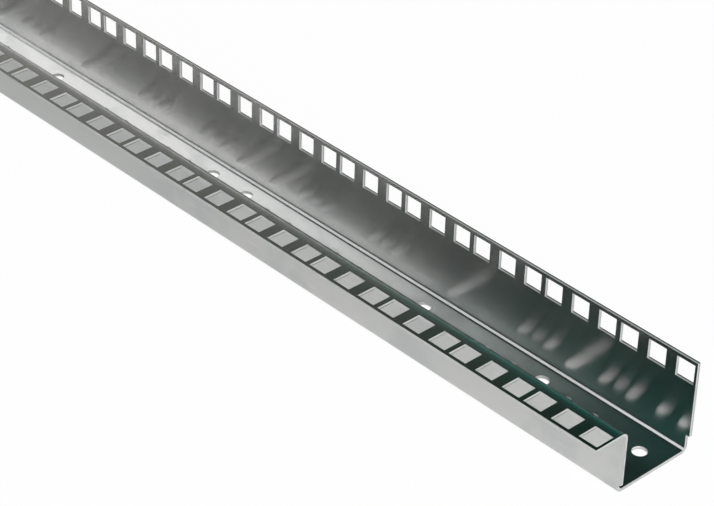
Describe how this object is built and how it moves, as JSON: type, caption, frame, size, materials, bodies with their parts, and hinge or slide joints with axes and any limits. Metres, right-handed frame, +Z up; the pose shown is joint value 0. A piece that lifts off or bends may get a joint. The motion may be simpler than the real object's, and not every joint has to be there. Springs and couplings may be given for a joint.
{
  "type": "rack mounting rail",
  "caption": "Folded galvanised rail for equipment racks: a channel with a tall and a low wall and an outward flange, both edges punched with square holes on the rack pitch.",
  "frame": {"origin": "middle of the overall box, on the underside of the floor", "axes": "+X along the rail, +Y from the flange towards the tall wall, +Z up from the floor"},
  "size_m": [0.5778, 0.0624, 0.048],
  "materials": {
    "galvanised_sheet": "zinc-coated sheet, satin"
  },
  "bodies": {
    "root": {"mounting_rail": "galvanised_sheet"}
  },
  "joints": []
}
